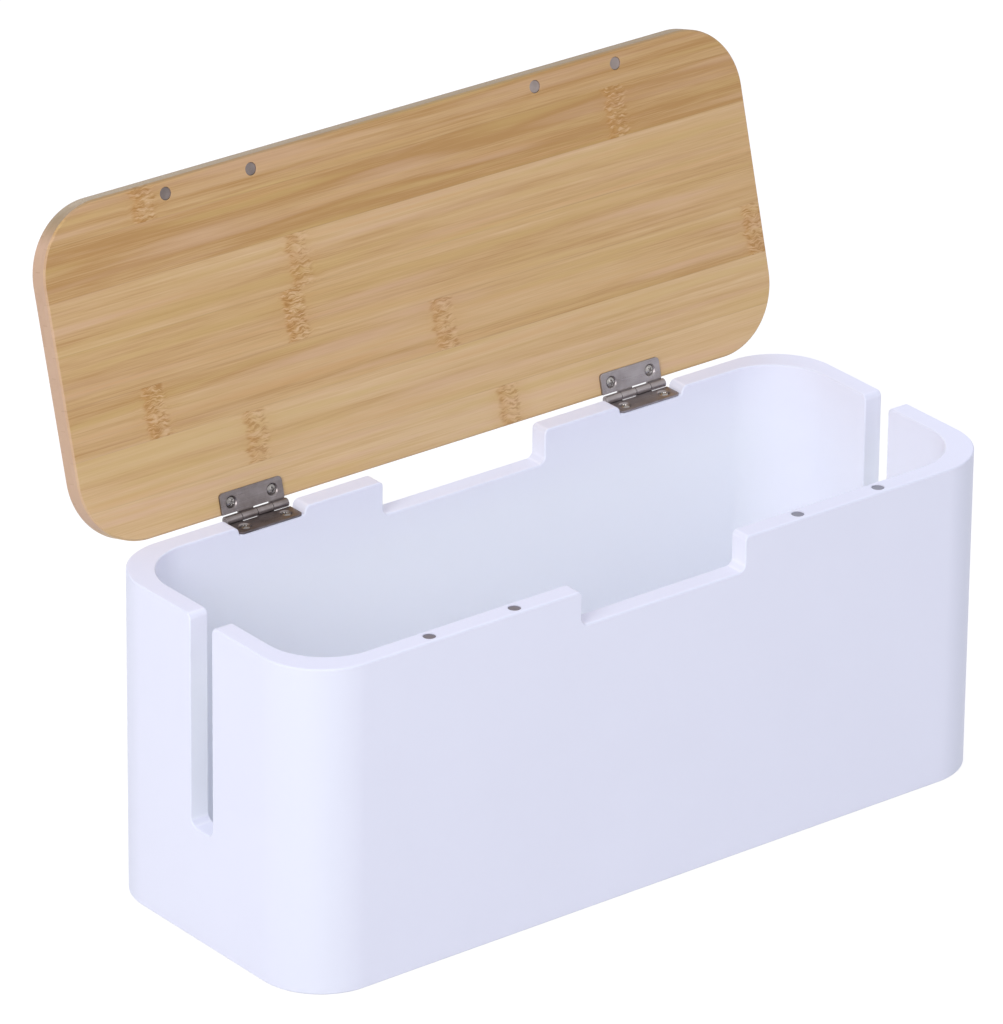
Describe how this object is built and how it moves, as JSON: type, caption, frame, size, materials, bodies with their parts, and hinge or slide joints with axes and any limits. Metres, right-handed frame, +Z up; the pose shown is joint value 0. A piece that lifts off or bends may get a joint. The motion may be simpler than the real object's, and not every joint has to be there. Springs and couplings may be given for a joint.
{
  "type": "cable management box",
  "caption": "White painted box with rounded corners, cable notches and slots, and a hinged bamboo lid held shut by magnets.",
  "frame": {"origin": "on the underside, at the middle of the box's footprint", "axes": "+X along the box, +Y towards the hinge side, +Z up"},
  "size_m": [0.4006, 0.2101, 0.3107],
  "materials": {
    "white_paint": "white satin paint on fibreboard",
    "bamboo": "satin laminated bamboo",
    "hinge_steel": "dull nickel plate",
    "screw_steel": "bright nickel plate",
    "magnet_plate": "nickel plate"
  },
  "bodies": {
    "box": {"floor_panel": "white_paint", "front_left_post": "white_paint", "front_right_post": "white_paint", "front_wall": "white_paint", "left_end_wall": "white_paint", "left_hinge_box_leaf": "hinge_steel", "left_hinge_box_screw_1": "screw_steel", "left_hinge_box_screw_2": "screw_steel", "left_hinge_pin": "hinge_steel", "rear_left_post": "white_paint", "rear_right_post": "white_paint", "rear_wall": "white_paint", "right_end_wall": "white_paint", "right_hinge_box_leaf": "hinge_steel", "right_hinge_box_screw_1": "screw_steel", "right_hinge_box_screw_2": "screw_steel", "right_hinge_pin": "hinge_steel", "rim_magnet_1": "magnet_plate", "rim_magnet_2": "magnet_plate", "rim_magnet_3": "magnet_plate", "rim_magnet_4": "magnet_plate"},
    "lid": {"left_hinge_lid_leaf": "hinge_steel", "left_hinge_lid_screw_1": "screw_steel", "left_hinge_lid_screw_2": "screw_steel", "lid_magnet_1": "magnet_plate", "lid_magnet_2": "magnet_plate", "lid_magnet_3": "magnet_plate", "lid_magnet_4": "magnet_plate", "lid_panel": "bamboo", "right_hinge_lid_leaf": "hinge_steel", "right_hinge_lid_screw_1": "screw_steel", "right_hinge_lid_screw_2": "screw_steel"}
  },
  "joints": [
    {"name": "lid_hinge", "type": "hinge", "parent": "box", "child": "lid", "pos_m": [0, 0.08, 0.1579], "axis": [1, 0, 0], "range_deg": [-90, 105]}
  ]
}
